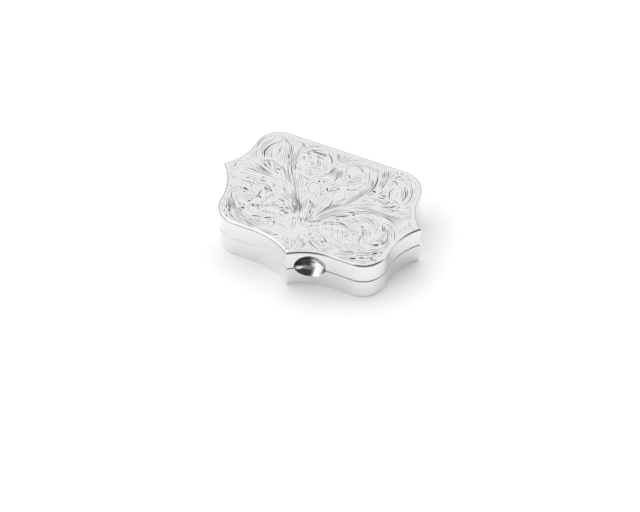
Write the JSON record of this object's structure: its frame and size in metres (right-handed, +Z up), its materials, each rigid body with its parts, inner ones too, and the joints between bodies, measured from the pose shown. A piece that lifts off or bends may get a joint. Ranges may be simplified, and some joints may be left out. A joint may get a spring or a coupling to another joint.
{
  "type": "pill box",
  "caption": "Small hinged silver pill box with a cusped outline, an engraved lid, a thumb scoop at the front and a flush inner bezel.",
  "frame": {"origin": "on the surface the box stands on, under the middle of the closed box's bounding box", "axes": "+Z up, +X to the right along the length, the front cusp points to -Y and the hinge is at +Y"},
  "size_m": [0.048, 0.0342, 0.0105],
  "materials": {
    "polished_silver": "polished silver with fine handling scratches",
    "engraved_silver": "polished silver, hand-engraved all over with scrollwork",
    "inner_silver": "satin silver",
    "hinge_pin_steel": "drawn wire"
  },
  "bodies": {
    "base": {"base_bottom_plate": "polished_silver", "base_wall_front_left": "polished_silver", "base_wall_front_right": "polished_silver", "base_wall_back": "polished_silver", "base_bezel": "inner_silver", "base_scoop": "polished_silver", "base_hinge_bearer": "inner_silver", "base_knuckle_1": "polished_silver", "base_knuckle_2": "polished_silver", "base_knuckle_3": "polished_silver", "base_knuckle_4": "polished_silver", "hinge_pin": "hinge_pin_steel", "hinge_plug_left": "polished_silver", "hinge_plug_right": "polished_silver"},
    "lid": {"lid_top_plate": "engraved_silver", "lid_wall_front_left": "polished_silver", "lid_wall_front_right": "polished_silver", "lid_wall_back": "polished_silver", "lid_scoop": "polished_silver", "lid_hinge_bearer": "inner_silver", "lid_knuckle_1": "polished_silver", "lid_knuckle_2": "polished_silver", "lid_knuckle_3": "polished_silver"}
  },
  "joints": [
    {"name": "lid_hinge", "type": "hinge", "parent": "base", "child": "lid", "pos_m": [0, 0.01625, 0.00525], "axis": [-1, 0, 0], "range_deg": [0, 110]}
  ]
}
